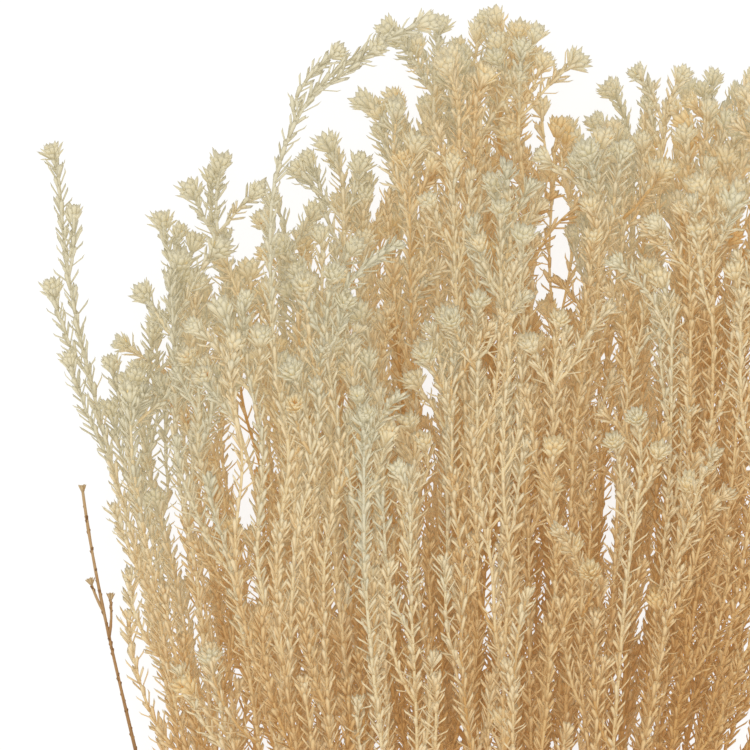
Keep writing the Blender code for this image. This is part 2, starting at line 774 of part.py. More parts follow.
def make_tie(leaders, material):
    """The band round the packed stems: their outline, grown outwards by the gap and its thickness."""
    corners = [ring.corner(k) for axis in leaders for ring in axis.rings[1:3] for k in range(3)]
    outline = hull_of([(round(c.x, 6), round(c.z, 6)) for c in corners])
    stops = []
    for before, here, after in zip(outline[-1:] + outline[:-1], outline, outline[1:] + outline[:1]):
        for a, b in ((before, here), (here, after)):
            length = math.dist(a, b)
            stops.append((here, ((b[1] - a[1]) / length, (a[0] - b[0]) / length)))
    section = tie_section()
    bm = bmesh.new()
    loops = [
        [bm.verts.new((x + nx * (TIE_GAP + d), y, z + nz * (TIE_GAP + d))) for y, d in section]
        for (x, z), (nx, nz) in stops
    ]
    for one, two in zip(loops, loops[1:] + loops[:1]):
        for i in range(len(section)):
            j = (i + 1) % len(section)
            bm.faces.new((one[i], one[j], two[j], two[i]))
    bmesh.ops.remove_doubles(bm, verts=bm.verts, dist=0.00002)
    bmesh.ops.recalc_face_normals(bm, faces=bm.faces)
    mesh = bpy.data.meshes.new("tie")
    bm.to_mesh(mesh)
    bm.free()
    return link("tie", mesh, material, (0.0, 0.0, 0.0))


def main():
    for obj in list(bpy.data.objects):
        bpy.data.objects.remove(obj)
    stems = plan_bunch()
    draw = random.Random(SEED + 1)
    bunch = [stem_axes(stem, draw) for stem in stems]
    room = Room()
    for axes in bunch:
        take_axes(axes, room)
    room.settle()
    every_axis = [axis for axes in bunch for axis in axes.values()]
    for axis in every_axis:
        open_head(axis, room)
    for axis in every_axis:
        set_needles(axis, room)
    straw = make_material("dried_staavia", STRAW, 0.8)
    brown = make_material("bare_wood", BROWN, 0.75)
    for stem, axes in zip(stems, bunch):
        make_stem(stem, axes, brown if stem.bare else straw)
    make_tie([axes[None] for axes in bunch], make_material("tie_latex", LATEX, 0.6))


main()
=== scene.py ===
"""The looks of a bunch of dried staavia: 36 leafy branched stems and a bare one, held by a tie.

+Y runs from the cut ends to the crown and +Z is up from the floor. The first half repeats the plan of
the bunch, so that every stem seen follows its own solid. The second half gives each stem its bark,
its needle leaves and its starry heads, and lays the bunch under soft light.
"""

import json
import math
import random
from dataclasses import dataclass, field

import bpy
import numpy as np
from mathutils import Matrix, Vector

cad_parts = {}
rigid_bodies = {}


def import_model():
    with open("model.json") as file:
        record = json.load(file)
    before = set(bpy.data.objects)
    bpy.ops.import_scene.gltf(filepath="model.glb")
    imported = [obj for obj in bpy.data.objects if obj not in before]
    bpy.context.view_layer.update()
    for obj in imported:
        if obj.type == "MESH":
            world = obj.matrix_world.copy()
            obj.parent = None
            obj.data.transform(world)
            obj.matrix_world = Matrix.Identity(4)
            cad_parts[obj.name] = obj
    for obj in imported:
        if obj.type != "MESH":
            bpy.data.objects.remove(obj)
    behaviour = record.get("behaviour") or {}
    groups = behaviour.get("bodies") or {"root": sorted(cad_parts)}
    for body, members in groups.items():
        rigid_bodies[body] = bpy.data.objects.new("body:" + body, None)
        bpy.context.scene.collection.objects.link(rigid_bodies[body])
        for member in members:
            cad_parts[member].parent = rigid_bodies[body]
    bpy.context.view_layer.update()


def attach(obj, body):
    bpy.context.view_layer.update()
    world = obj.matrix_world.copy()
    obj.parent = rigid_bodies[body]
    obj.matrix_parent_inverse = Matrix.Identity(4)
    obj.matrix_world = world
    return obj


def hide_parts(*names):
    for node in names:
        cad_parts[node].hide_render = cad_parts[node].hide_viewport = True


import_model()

MM = 0.001
SEED = 11

# The bunch as a whole
CUT_END = -140.0 * MM
CROWN_TOP = 540.0 * MM
ROW_COUNTS = (4, 5, 6, 7, 6, 5, 4)
ROW_HALF_WIDTHS = (96.0, 111.0, 118.0, 124.0, 119.0, 111.0, 96.0)
ROW_DROPS = ((10.0, 55.0), (3.0, 30.0), (0.0, 14.0), (0.0, 8.0), (0.0, 20.0), (4.0, 60.0), (20.0, 135.0))
SPREAD_POWER = 2.0
RISE_POWER = 3.0
EASE = 0.04
CUT_SPLAY = 0.9

# Height of the crown over the bunch's width: (x, y) in millimetres
CROWN_OUTLINE = (
    (-123, 480), (-113, 440), (-100, 463), (-88, 468), (-78, 475), (-70, 486), (-62, 480), (-48, 462),
    (-33, 497), (-23, 510), (-7, 528), (3, 535), (23, 540), (37, 527), (40, 512), (53, 492), (63, 510),
    (77, 523), (97, 515), (110, 498), (123, 468),
)

# Places where the stems part and leave a gap: x, y, half width and half length, in millimetres
PARTINGS = (
    (-68, 388, 8, 24), (-60, 468, 5, 18), (37, 458, 8, 30), (33, 496, 8, 16), (47, 520, 8, 20),
    (-8, 405, 4, 22), (52, 385, 4, 30), (12, 350, 4, 18),
)

# Stems and their packing inside the tie
STEM_PITCH = 2.9 * MM
ROW_PITCH_TIE = STEM_PITCH * math.sqrt(3.0) / 2.0
ROW_PITCH_CROWN = 12.0 * MM
SWELL = 5.0 * MM
SWELL_WIDTH = 150.0 * MM
ROLL = 9.0 * MM
STEM_RADIUS = 1.45 * MM
TWIG_RADIUS = 0.8 * MM
LOWEST_ROW = 4.6 * MM

# Side twigs: slots as shares of half a stem's room, and how a twig leaves its stem
OUTER_SLOT, INNER_SLOT = 0.74, 0.38
INNER_SHARE = 0.4
SHORT_TWIG_SHARE = 0.85
SHORT_TWIG_LENGTH = 15.0 * MM
TWIG_REACH = 26.0 * MM
SHORT_REACH = 9.0 * MM
FORK_SPACING = 7.0 * MM
LEAVING_LENGTH = 22.0 * MM
CURL_LENGTH = 14.0 * MM
ARCH_LENGTH = 75.0 * MM

# How far the rods that stand for twigs and heads keep apart
CLEARANCE = 0.5 * MM
OWN_CLEARANCE = 0.1 * MM
TWIG_CLEARANCE = 0.4 * MM
HEAD_ROD = 2.7 * MM
ROD_LENGTH = 25.0 * MM
PETAL_LENGTH = 4.6 * MM

# The tie: a flat elastic band
TIE_GAP = 0.3 * MM
TIE_THICKNESS = 1.2 * MM
TIE_WIDTH = 8.0 * MM
BAND_SIDES = 16
BAND_POINTS = 120
FLATNESS, EDGE_ROUNDING = 0.35, 0.6


@dataclass(eq=False)
class Twig:
    """A side twig, over y from its fork to its tip. offset and curl are (x, z)."""

    fork: float
    tip: float
    offset: tuple
    reach: float = TWIG_REACH
    curl: tuple = (0.0, 0.0)
    parent: object = None


@dataclass
class Stem:
    """One cut stem: its place in the tie, its place in the crown, its bends and its twigs."""

    name: str
    row: int
    x_tie: float
    x_crown: float
    room: float
    cut: float
    tip: float
    waves: tuple
    curl: tuple = (0.0, 0.0)
    arch: float = 0.0
    bare: bool = False
    twigs: list = field(default_factory=list)
    given: list = None


# Where a stem runs

def eased(t):
    return math.sqrt(t * t + EASE * EASE) - EASE


def outwards(y, power):
    """How far a stem has fanned out at y: 0 at the tie, 1 at the crown's top."""
    t = eased(max(y, 0.0) / CROWN_TOP) / eased(1.0)
    return 1.0 - (1.0 - min(t, 1.0)) ** power


def crown_height(x):
    xs, ys = zip(*CROWN_OUTLINE)
    return float(np.interp(x / MM, xs, ys)) * MM


def parted(x, y):
    """x, moved out of the gaps between the stems. Stems keep their order."""
    for gap_x, gap_y, half_width, half_length in PARTINGS:
        off = x / MM - gap_x
        near = math.exp(-((off / (3.2 * half_width)) ** 2) - ((y / MM - gap_y) / half_length) ** 2)
        x += math.tanh(off / (0.45 * half_width)) * near * half_width * 0.8 * MM
    return x


def swell(x, y, row):
    """How far the rows heave together across the bunch, the upper ones more."""
    across = 0.5 + 0.5 * math.cos(2.0 * math.pi * x / SWELL_WIDTH)
    heave = SWELL * across * (0.7 + 0.3 * math.sin(y / (60.0 * MM)))
    share = row / (len(ROW_COUNTS) - 1)
    return heave + share * ROLL * math.sin(x / (31.0 * MM) + y / (110.0 * MM))


def stem_point(stem, y):
    """A point of the stem's centre line at y."""
    out = outwards(y, SPREAD_POWER)
    up = outwards(y, RISE_POWER)
    splay = 1.0 + CUT_SPLAY * eased(max(-y, 0.0) / -CUT_END)
    (x_size, x_turns, x_start), (z_size, z_turns, z_start) = stem.waves
    sway = 5.0 * MM * math.sin(5.0 * y / CROWN_TOP + 2.3 * stem.row)
    x = stem.x_tie * splay + (stem.x_crown - stem.x_tie) * out
    x += out * (sway + x_size * math.sin(x_turns * y / CROWN_TOP + x_start))
    z_tie = TIE_THICKNESS + TIE_GAP + 0.5 * STEM_RADIUS + stem.row * ROW_PITCH_TIE * splay
    z = z_tie + (LOWEST_ROW + stem.row * ROW_PITCH_CROWN + swell(x, y, stem.row) - z_tie) * up
    z += up * z_size * math.sin(z_turns * y / CROWN_TOP + z_start)
    t = max(0.0, (y - (stem.tip - ARCH_LENGTH)) / ARCH_LENGTH)
    arched = (0.35 * t ** 1.3 + 0.65 * t ** 5) * stem.arch
    return Vector((parted(x, y) + arched, y, z))


def curled(point, y, tip, curl):
    """The point, bent sideways over the last stretch before the tip."""
    share = max(0.0, 1.0 - (tip - y) / CURL_LENGTH) ** 2
    return point + Vector((curl[0], 0.0, curl[1])) * share


def twig_point(stem, twig, y):
    """A point of a side twig's centre line at y."""
    start = twig_point(stem, twig.parent, y) if twig.parent else stem_point(stem, y)
    grown = 1.0 - math.exp(-max(y - twig.fork, 0.0) / twig.reach)
    room = outwards(y, SPREAD_POWER)
    point = start + Vector((twig.offset[0] * room, 0.0, twig.offset[1])) * grown
    return curled(point, y, twig.tip, twig.curl)


def path_of(stem, twig):
    """The centre line of a twig, or of the leader where twig is None."""
    if twig:
        return lambda y: twig_point(stem, twig, y)
    return lambda y: curled(stem_point(stem, y), y, stem.tip, stem.curl)


# Room: what would run through another stem is drawn in, bent clear or left out

class Room:
    """The room that is taken so far: round-ended rods, each with a radius, its stem and its axis."""

    def __init__(self):
        self.waiting = []
        self.starts, self.ends, self.radii = np.zeros((0, 3)), np.zeros((0, 3)), np.zeros(0)
        self.stems, self.axes = np.zeros(0, dtype="U24"), np.zeros(0, dtype="U24")

    def take(self, start, end, radius, stem, axis=""):
        self.waiting.append((tuple(start), tuple(end), radius, stem, axis))

    def settle(self):
        """Lets the rods taken since the last time count."""
        if not self.waiting:
            return
        starts, ends, radii, stems, axes = (np.array(column) for column in zip(*self.waiting))
        self.starts, self.ends = np.vstack((self.starts, starts)), np.vstack((self.ends, ends))
        self.radii = np.concatenate((self.radii, radii))
        self.stems, self.axes = np.concatenate((self.stems, stems)), np.concatenate((self.axes, axes))
        self.waiting = []

    def is_free(self, start, end, radius, stem, axis=None):
        """Whether a rod keeps clear of the other stems and, where its axis is given, of its own stem's."""
        gap = self.distances(np.array(start), np.array(end)) - self.radii - radius
        if (gap[self.stems != stem] <= CLEARANCE).any() or min(start[2], end[2]) < 0.0:
            return False
        own = (self.stems == stem) & (self.axes != axis)
        return axis is None or not (gap[own] <= OWN_CLEARANCE).any()

    def distances(self, p, q):
        """Distances from the segment p-q to each rod, by samples along p-q."""
        best = np.full(len(self.radii), np.inf)
        runs = self.ends - self.starts
        squares = np.maximum((runs * runs).sum(1), 1e-12)
        for share in np.linspace(0.0, 1.0, 7):
            point = p + (q - p) * share
            t = np.clip(((point - self.starts) * runs).sum(1) / squares, 0.0, 1.0)
            best = np.minimum(best, np.linalg.norm(self.starts + runs * t[:, None] - point, axis=1))
        return best


def path_rods(path, start, end):
    """A path from start to end as short rods, and the rod that its head takes."""
    count = max(3, round((end - start) / ROD_LENGTH))
    points = [path(start + (end - start) * i / count) for i in range(count + 1)]
    crown = points[-1] + (points[-1] - path(end - 2.0 * MM)).normalized() * PETAL_LENGTH
    return list(zip(points, points[1:])), (points[-1], crown)


def axis_name(stem, twig):
    """The name of a twig's axis, or of the leader's where twig is None."""
    return f"{stem.name}_{stem.twigs.index(twig) + 1 if twig else 0}"


def take_path(room, stem, twig, start, end):
    """Takes the room of a leader or a twig and of its head."""
    rods, head = path_rods(path_of(stem, twig), start, end)
    for low, high in rods:
        room.take(low, high, TWIG_RADIUS, stem.name, axis_name(stem, twig))
    room.take(*head, HEAD_ROD, stem.name)
    room.settle()


def has_room(room, stem, twig):
    """Whether a twig keeps clear of all but its parent and, once it has left its parent, of that too."""
    rods, head = path_rods(path_of(stem, twig), twig.fork, twig.tip)
    parent, left = axis_name(stem, twig.parent), twig.fork + LEAVING_LENGTH
    for low, high in rods:
        exempt = "" if low.y > left else parent
        if not room.is_free(low, high, TWIG_RADIUS + TWIG_CLEARANCE, stem.name, exempt):
            return False
    return room.is_free(*head, HEAD_ROD, stem.name, "none")


# The plan of the bunch

def tip_curl(draw, row):
    """A random bend under a head. Heads of the upper rows lean up, towards the light."""
    top = len(ROW_COUNTS) - 1
    lift = {top: (1.0, 7.0), top - 1: (-1.0, 3.0), 0: (0.0, 2.0)}.get(row, (-2.0, 2.0))
    return draw.uniform(-4.0, 4.0) * MM, draw.uniform(*lift) * MM


def long_twigs(stem, draw):
    """The side twigs in the stem's outer and inner slots."""
    found = []
    for slot in (-OUTER_SLOT, OUTER_SLOT, -INNER_SLOT, INNER_SLOT):
        keep, rise, length = draw.random(), draw.random(), draw.random()
        offset = (slot * stem.room + draw.uniform(-1.0, 1.0) * MM, draw.uniform(-2.4, 2.4) * MM)
        curl = tip_curl(draw, stem.row)
        outer = abs(slot) == OUTER_SLOT
        fork = (225.0 + 75.0 * rise if outer else 285.0 + 95.0 * rise) * MM
        top = stem.tip - ARCH_LENGTH if stem.arch else stem.tip
        limit = min(top, crown_height(stem.x_crown + offset[0])) - 4.0 * MM
        tip = limit - (105.0 if outer else 80.0) * MM * length ** 1.3
        if (outer or keep < INNER_SHARE) and tip - fork > 55.0 * MM:
            found.append(Twig(fork, tip, offset, curl=curl))
    return found


def short_twigs(stem, draw):
    """The twigs that part from the leader or a long twig just under its head."""
    found = []
    for parent in [None, None, *stem.twigs]:
        keep, side, back = draw.random(), draw.choice((-1, 1)), draw.uniform(3.0, 14.0) * MM
        offset = (side * draw.uniform(6.5, 8.0) * MM, draw.uniform(-2.5, 2.5) * MM)
        curl = tip_curl(draw, stem.row)
        if keep < SHORT_TWIG_SHARE:
            tip = (parent.tip if parent else stem.tip) - back
            found.append(Twig(tip - SHORT_TWIG_LENGTH, tip, offset, SHORT_REACH, curl, parent))
    return found


def grow_twigs(stem, twigs, room, given=False):
    """Adds the twigs that find room. A long one is drawn in where it must be, a short one changes sides."""
    for twig in twigs:
        x, z = twig.offset
        siblings = [other for other in stem.twigs if other.parent is twig.parent]
        while any(abs(other.fork - twig.fork) < FORK_SPACING for other in siblings):
            twig.fork -= FORK_SPACING
        for share in (1.0, -1.0) if twig.reach == SHORT_REACH else (1.0, 0.85, 0.7):
            twig.offset = (x * share, z)
            if given or has_room(room, stem, twig):
                stem.twigs.append(twig)
                take_path(room, stem, twig, twig.fork, twig.tip)
                break


def shape_left_outlier(stem):
    """The stem that stands apart at the left of the crown, with heads down its side."""
    stem.x_crown, stem.tip, stem.curl = -120.0 * MM, 488.0 * MM, (-2.0 * MM, 1.0 * MM)
    stem.waves = ((7.0 * MM, 11.0, -4.95), stem.waves[1])
    stem.given = [
        Twig(fork * MM, tip * MM, (x * MM, z * MM), reach * MM)
        for fork, tip, x, z, reach in (
            (448, 467, 4.5, 1.5, 9), (414, 442, -7.0, -1.0, 12), (386, 419, -6.0, 2.0, 14),
            (318, 417, 9.0, 0.5, 24), (336, 402, 4.5, -2.5, 20), (262, 372, 13.0, 1.5, 30),
        )
    ]


def shape_bare_stem(stem):
    """The leafless brown stem at the left edge, with two short spurs."""
    stem.name, stem.bare = "bare_stem", True
    stem.x_crown, stem.tip = -133.0 * MM, 377.0 * MM
    stem.curl, stem.waves = (0.0, 0.0), ((2.5 * MM, 14.0, 1.0), stem.waves[1])
    stem.given = [
        Twig(328.0 * MM, 341.0 * MM, (5.0 * MM, 1.5 * MM), SHORT_REACH),
        Twig(336.0 * MM, 346.0 * MM, (-4.0 * MM, 1.0 * MM), SHORT_REACH),
    ]


def shape_arching_stem(stem):
    """The stem whose long leader arches over the crown to the right."""
    stem.x_crown += 13.0 * MM
    stem.tip, stem.arch, stem.curl = 530.0 * MM, 52.0 * MM, (0.0, -3.0 * MM)


BARE_ROW = 4
SPECIAL = {(3, 0): shape_left_outlier, (BARE_ROW, 0): shape_bare_stem, (6, 0): shape_arching_stem}


def plan_stem(row, place, number, draw):
    """One stem without its twigs."""
    count = ROW_COUNTS[row]
    evenly = count - 1 if row == BARE_ROW else count
    half_width = ROW_HALF_WIDTHS[row] * MM
    across = (2.0 * (place - count + evenly) + 1.0) / evenly - 1.0
    x_crown = half_width * across + draw.uniform(-3.0, 3.0) * MM
    waves = tuple(
        (size * draw.uniform(0.4, 1.0) * MM, draw.uniform(9.0, 16.0), draw.uniform(0.0, 6.28))
        for size in (2.4, 1.2)
    )
    stem = Stem(
        name=f"stem_{number:02d}", row=row, x_tie=(place - (count - 1) / 2.0) * STEM_PITCH, x_crown=x_crown,
        room=half_width / evenly, cut=CUT_END + draw.uniform(0.0, 24.0) * MM,
        tip=crown_height(x_crown) - draw.uniform(*ROW_DROPS[row]) * MM, waves=waves,
        curl=tip_curl(draw, row),
    )
    if (row, place) in SPECIAL:
        SPECIAL[(row, place)](stem)
    return stem


def plan_bunch():
    """Every stem of the bunch, row by row from the surface up, with the twigs that there is room for."""
    draw = random.Random(SEED)
    places = [(row, place) for row, count in enumerate(ROW_COUNTS) for place in range(count)]
    stems = [plan_stem(row, place, i + 1, draw) for i, (row, place) in enumerate(places)]
    room = Room()
    for stem in stems:
        take_path(room, stem, None, 0.0, stem.tip)
    for stem in stems:
        if stem.given is not None:
            grow_twigs(stem, stem.given, room, given=True)
    for grow in (long_twigs, short_twigs):
        for stem in stems:
            if stem.given is None:
                grow_twigs(stem, grow(stem, draw), room)
    return stems


# Looks: sizes of what clothes a stem

BARK_RADIUS = 1.02 * MM
BARK_TIP_RADIUS = 0.5 * MM
TWIG_BARK_RADIUS = 0.6 * MM
TWIG_BARK_TIP_RADIUS = 0.38 * MM
TUBE_SIDES = 6
TUBE_STEP = 4.5 * MM
LEAF_LENGTH = 5.6 * MM
LEAF_WIDTH = 1.45 * MM
LEAF_ANGLE = math.radians(32.0)
LEAF_CURL = math.radians(6.0)
LEAVES_PER_METRE = 850.0
LEAF_SPREADS = (0.85, 1.35)
SOLITARY_LEAVES = 1.2
SOLITARY_SPREAD = 0.85
LEAFY_FROM = 205.0 * MM
LEAFY_FULL = 270.0 * MM
COLLAR = 9.0 * MM
COLLAR_LEAVES = 8
LOW_LEAVES = 0.25
LOW_ANGLE = 0.55
UNEVEN_TURNS = 0.35
GOLDEN_ANGLE = math.radians(137.508)
FLOOR_SKIN = 1.2 * MM
FIRST_SEED = 100
WOODY_SHARE = 0.12
KNOBBLINESS = 0.07
SCARS_PER_METRE = 420.0
STRIPPED_SCARS_PER_METRE = 190.0
SCAR_LENGTHS = (0.9, 1.7)
SCAR_WIDTH = 1.0 * MM
SCAR_ANGLE = 0.28

# Leafy shoots without a plan of their own, set along leaders and long twigs
SHOOT_SPACING = 28.0 * MM
CROWN_SHOOT_LENGTHS = (11.0, 22.0)
CROWN_LEAN = 7.0
CROWN_OFFSETS = (7.0, 11.0)
CROWN_DEPTH = 50.0 * MM
SHOOTS_FROM = 190.0 * MM
SHOOT_LENGTHS = (24.0, 56.0)
SHOOT_OFFSETS = (5.5, 9.0)
SHOOT_REACHES = (7.0, 12.0)
CROWN_REACH = 7.0 * MM
CROWN_TIPS = (-9.0, 13.0)
SHOOT_HEIGHT = 0.8
LEAST_SHOOT = 12.0 * MM
LAST_SHOOT = 18.0 * MM
UNDER_TIP = 4.0 * MM
FLANK = 84.0 * MM
FLANK_TOP = 320.0 * MM
FLANK_LEAN = 1.55
GIVEN_SHOOTS_TO = 300.0 * MM
HIGHEST_TIP = 93.0 * MM
LOWEST_TIP = 4.0 * MM
BARE_ARCH = 1.4 * ARCH_LENGTH
SHOOT_HEAD_SHARE = 0.045
CROWN_HEAD_SHARE = 0.55
CROWDED_HEAD_SHARE = 0.92

# Whorls of bracts round a head: count, spread and curl in degrees, length and width in millimetres
BRACT_WHORLS = (
    (10, 54.0, -9.0, 5.1, 2.0),
    (10, 39.0, -7.0, 6.3, 2.2),
    (8, 23.0, -3.0, 6.2, 2.0),
)
HEAD_SIZES = (0.78, 1.16)
OPENINGS = (0.75, 1.2)
FLORETS = 9
FLORET_LENGTHS = (2.6, 3.8)
FLORET_WIDTH = 0.75 * MM
DISC_RADIUS = 1.3 * MM
TAWNY_SHARE = 0.22
TUFT_LEAVES = 9
TUFT_ANGLES = (8.0, 34.0)

# Whorls of teeth in a dry cup: count, spread in degrees and length in millimetres
CALYX_WHORLS = ((7, 31.0, 2.6), (6, 14.0, 2.2))
TOOTH_WIDTH = 1.1 * MM

# Tones, from 0, golden tan, to 1, greyish ivory: of a place in the bunch, and what a part adds to it
# A place's tone is partly the plant's own colour and partly painted light: golden tan deep in the bunch,
# towards its right and towards the cut ends, greyer and dimmer on the crown, past the left edge and on top
# of the pile.
MIDDLE_TONE = 0.6
CROWN_TONE_AND_PAINTED_LIGHT = 0.42
CROWN_FADE = 42.0 * MM
LEFT_EDGE = -0.42
ACROSS_TONE, HEIGHT_TONE, LOW_TONE, UPPER_PAINTED_LIGHT_TONE = -0.22, 0.22, 0.16, 0.26
MIDDLE = (-25.0 * MM, 415.0 * MM, 55.0 * MM)
HALF_SPANS = (125.0 * MM, 125.0 * MM, 45.0 * MM)
STEM_TONES = 0.14
TWIG_TONES = 0.13
LEAF_TONES = 0.07
WOODY_TONE = -0.4
TAWNY_TONE, PALE_TONE = -0.22, 0.06
TAWNY_DISC, PALE_DISC = 0.25, 0.75
SCAR_TONE, BARE_SCAR_TONE = 0.1, 0.25
CUP_TONE = 0.95

BARK, LEAF, BRACT, FLORET = range(4)


# Gathering a stem's mesh

class Soup:
    """Triangles gathered for one mesh, each with a material slot, and a tone and a reach per point."""

    def __init__(self):
        self.points, self.tones, self.reaches, self.triangles, self.slots = [], [], [], [], []
        self.count = 0

    def add(self, points, triangles, slot, tones, reaches):
        """Adds triangles over points of their own. A reach is 0 at a blade's root and 1 at its tip."""
        self.points.append(points)
        self.tones.append(np.broadcast_to(tones, len(points)))
        self.reaches.append(np.broadcast_to(reaches, len(points)))
        self.triangles.append(triangles + self.count)
        self.slots.append(np.full(len(triangles), slot))
        self.count += len(points)

    def to_mesh(self, name):
        """One mesh of all that was added, with nothing under the floor."""
        mesh = bpy.data.meshes.new(name)
        points, triangles = np.concatenate(self.points), np.concatenate(self.triangles)
        points[:, 2] = lifted(points[:, 2])
        mesh.vertices.add(len(points))
        mesh.vertices.foreach_set("co", points.astype(np.float32).ravel())
        mesh.loops.add(triangles.size)
        mesh.loops.foreach_set("vertex_index", triangles.astype(np.int32).ravel())
        mesh.polygons.add(len(triangles))
        mesh.polygons.foreach_set("loop_start", np.arange(0, triangles.size, 3, dtype=np.int32))
        mesh.polygons.foreach_set("material_index", np.concatenate(self.slots).astype(np.int32))
        mesh.update(calc_edges=True)
        for label, values in (("tone", self.tones), ("reach", self.reaches)):
            layer = mesh.attributes.new(label, "FLOAT", "POINT")
            layer.data.foreach_set("value", np.concatenate(values).astype(np.float32))
        mesh.shade_smooth()
        return mesh


def lifted(z):
    """Heights with whatever would dip under the floor pressed flat just above it."""
    return np.where(z < FLOOR_SKIN, FLOOR_SKIN * np.exp(z / FLOOR_SKIN - 1.0), z)


@dataclass
class Habit:
    """What a stem's leaves have in common: their tone, and how dense and how spread they are."""

    tone: float
    density: float
    spread: float


# Lines: sampled centre lines with a frame at each point

@dataclass
class Line:
    """A centre line: its points, the directions along it and two across it, and its running length."""

    points: np.ndarray
    along: np.ndarray
    side: np.ndarray
    up: np.ndarray
    run: np.ndarray

    def at(self, run):
        """Points and directions at running lengths along the line."""
        found = []
        for values in (self.points, self.along, self.side, self.up):
            found.append(np.stack([np.interp(run, self.run, column) for column in values.T], axis=1))
        return found[0], *(unit(directions) for directions in found[1:])

    def end(self):
        """The directions along and across at the line's end."""
        return self.along[-1], self.side[-1], self.up[-1]


def unit(vectors):
    """The vectors at length 1."""
    return vectors / np.linalg.norm(vectors, axis=-1, keepdims=True)


def outwards_at(turns, side, up):
    """Directions away from a line, at turns round it."""
    return side * np.cos(turns)[:, None] + up * np.sin(turns)[:, None]


def even_heights(path, start, end):
    """Heights from start to end whose points lie evenly along a path."""
    heights = np.linspace(start, end, max(5, round((end - start) / TUBE_STEP)))
    points = np.array([path(y) for y in heights])
    run = np.concatenate(([0.0], np.cumsum(np.linalg.norm(np.diff(points, axis=0), axis=1))))
    count = max(4, round(run[-1] / TUBE_STEP))
    return np.interp(np.linspace(0.0, run[-1], count + 1), run, heights)


def sample_line(path, start, end):
    """The line of a path between two heights, with a frame that doesn't twist."""
    points = np.array([path(y) for y in even_heights(path, start, end)])
    along = unit(np.gradient(points, axis=0))
    side = np.zeros_like(points)
    across = np.array((1.0, 0.0, 0.0))
    for i, direction in enumerate(along):
        across = unit(across - direction * (across @ direction))
        side[i] = across
    steps = np.linalg.norm(np.diff(points, axis=0), axis=1)
    return Line(points, along, side, np.cross(side, along), np.concatenate(([0.0], np.cumsum(steps))))


# Bark

def skin_between(a, b, c, d):
    """Two triangles for each four points: a beside b, and c and d on the next ring."""
    return np.stack((a, b, d, a, d, c), -1).reshape(-1, 3)


def tube_triangles(rings, sides):
    """Triangles over a tube of rings, and over its two ends."""
    i, k = np.meshgrid(np.arange(rings - 1), np.arange(sides), indexing="ij")
    a, b = i * sides + k, i * sides + (k + 1) % sides
    c, d = a + sides, b + sides
    fan = np.arange(1, sides - 1)
    last = (rings - 1) * sides
    low = np.stack((np.zeros_like(fan), fan + 1, fan), -1)
    high = np.stack((np.full_like(fan, last), last + fan, last + fan + 1), -1)
    return np.concatenate((skin_between(a, b, c, d), low, high))


def add_bark(soup, line, thick, thin, tone, draw):
    """A slightly knobbly tapering tube. A few are browner."""
    share = line.run / line.run[-1]
    if draw.uniform() < WOODY_SHARE:
        tone = tone + WOODY_TONE
    radii = thick + (thin - thick) * share ** 0.8
    radii = radii * (1.0 + KNOBBLINESS * draw.standard_normal(len(share)))
    turns = np.linspace(0.0, 2.0 * np.pi, TUBE_SIDES, endpoint=False)
    outs = line.side[:, None] * np.cos(turns)[:, None] - line.up[:, None] * np.sin(turns)[:, None]
    points = line.points[:, None] + outs * radii[:, None, None]
    points = points.reshape(-1, 3)
    reach = np.repeat(share, TUBE_SIDES)
    soup.add(points, tube_triangles(len(share), TUBE_SIDES), BARK, tone + tone_and_painted_light_at(points), reach)


# Leaves, bracts and florets: closed blades of three sides with a keel

BLADE = np.array((
    (0, 1, 2), (1, 0, 3), (1, 3, 4), (2, 1, 4), (2, 4, 5), (0, 2, 5), (0, 5, 3),
    (4, 3, 6), (5, 4, 6), (3, 5, 6),
))
WIDEST = 0.76
BLADE_REACH = np.array((0.0, 0.0, 0.0, WIDEST, WIDEST, WIDEST, 1.0))
BLADE_POINTS = len(BLADE_REACH)
FOOT, LOW_KEEL, KEEL = 0.4, 0.25, 0.28


def add_blades(soup, slot, roots, along, out, length, width, angle, curl, tones):
    """Blades that leave their roots at an angle from along towards out, and curl inwards."""
    across = np.cross(along, out)
    length, width, angle = (np.broadcast_to(v, len(roots))[:, None] for v in (length, width, angle))
    curl = np.broadcast_to(curl, len(roots))[:, None]
    first = along * np.cos(angle + curl) + out * np.sin(angle + curl)
    last = along * np.cos(angle - curl) + out * np.sin(angle - curl)
    middle = roots + first * length * WIDEST
    tips = middle + last * length * (1.0 - WIDEST)
    keel, keel_high = np.cross(across, first), np.cross(across, unit(first + last))
    points = np.stack((
        roots - across * width * FOOT, roots + across * width * FOOT, roots + keel * width * LOW_KEEL,
        middle - across * width * 0.5, middle + across * width * 0.5, middle + keel_high * width * KEEL,
        tips,
    ), axis=1)
    triangles = (BLADE[None] + BLADE_POINTS * np.arange(len(roots))[:, None, None]).reshape(-1, 3)
    reaches = np.tile(BLADE_REACH, len(roots))
    soup.add(points.reshape(-1, 3), triangles, slot, np.repeat(tones, BLADE_POINTS), reaches)


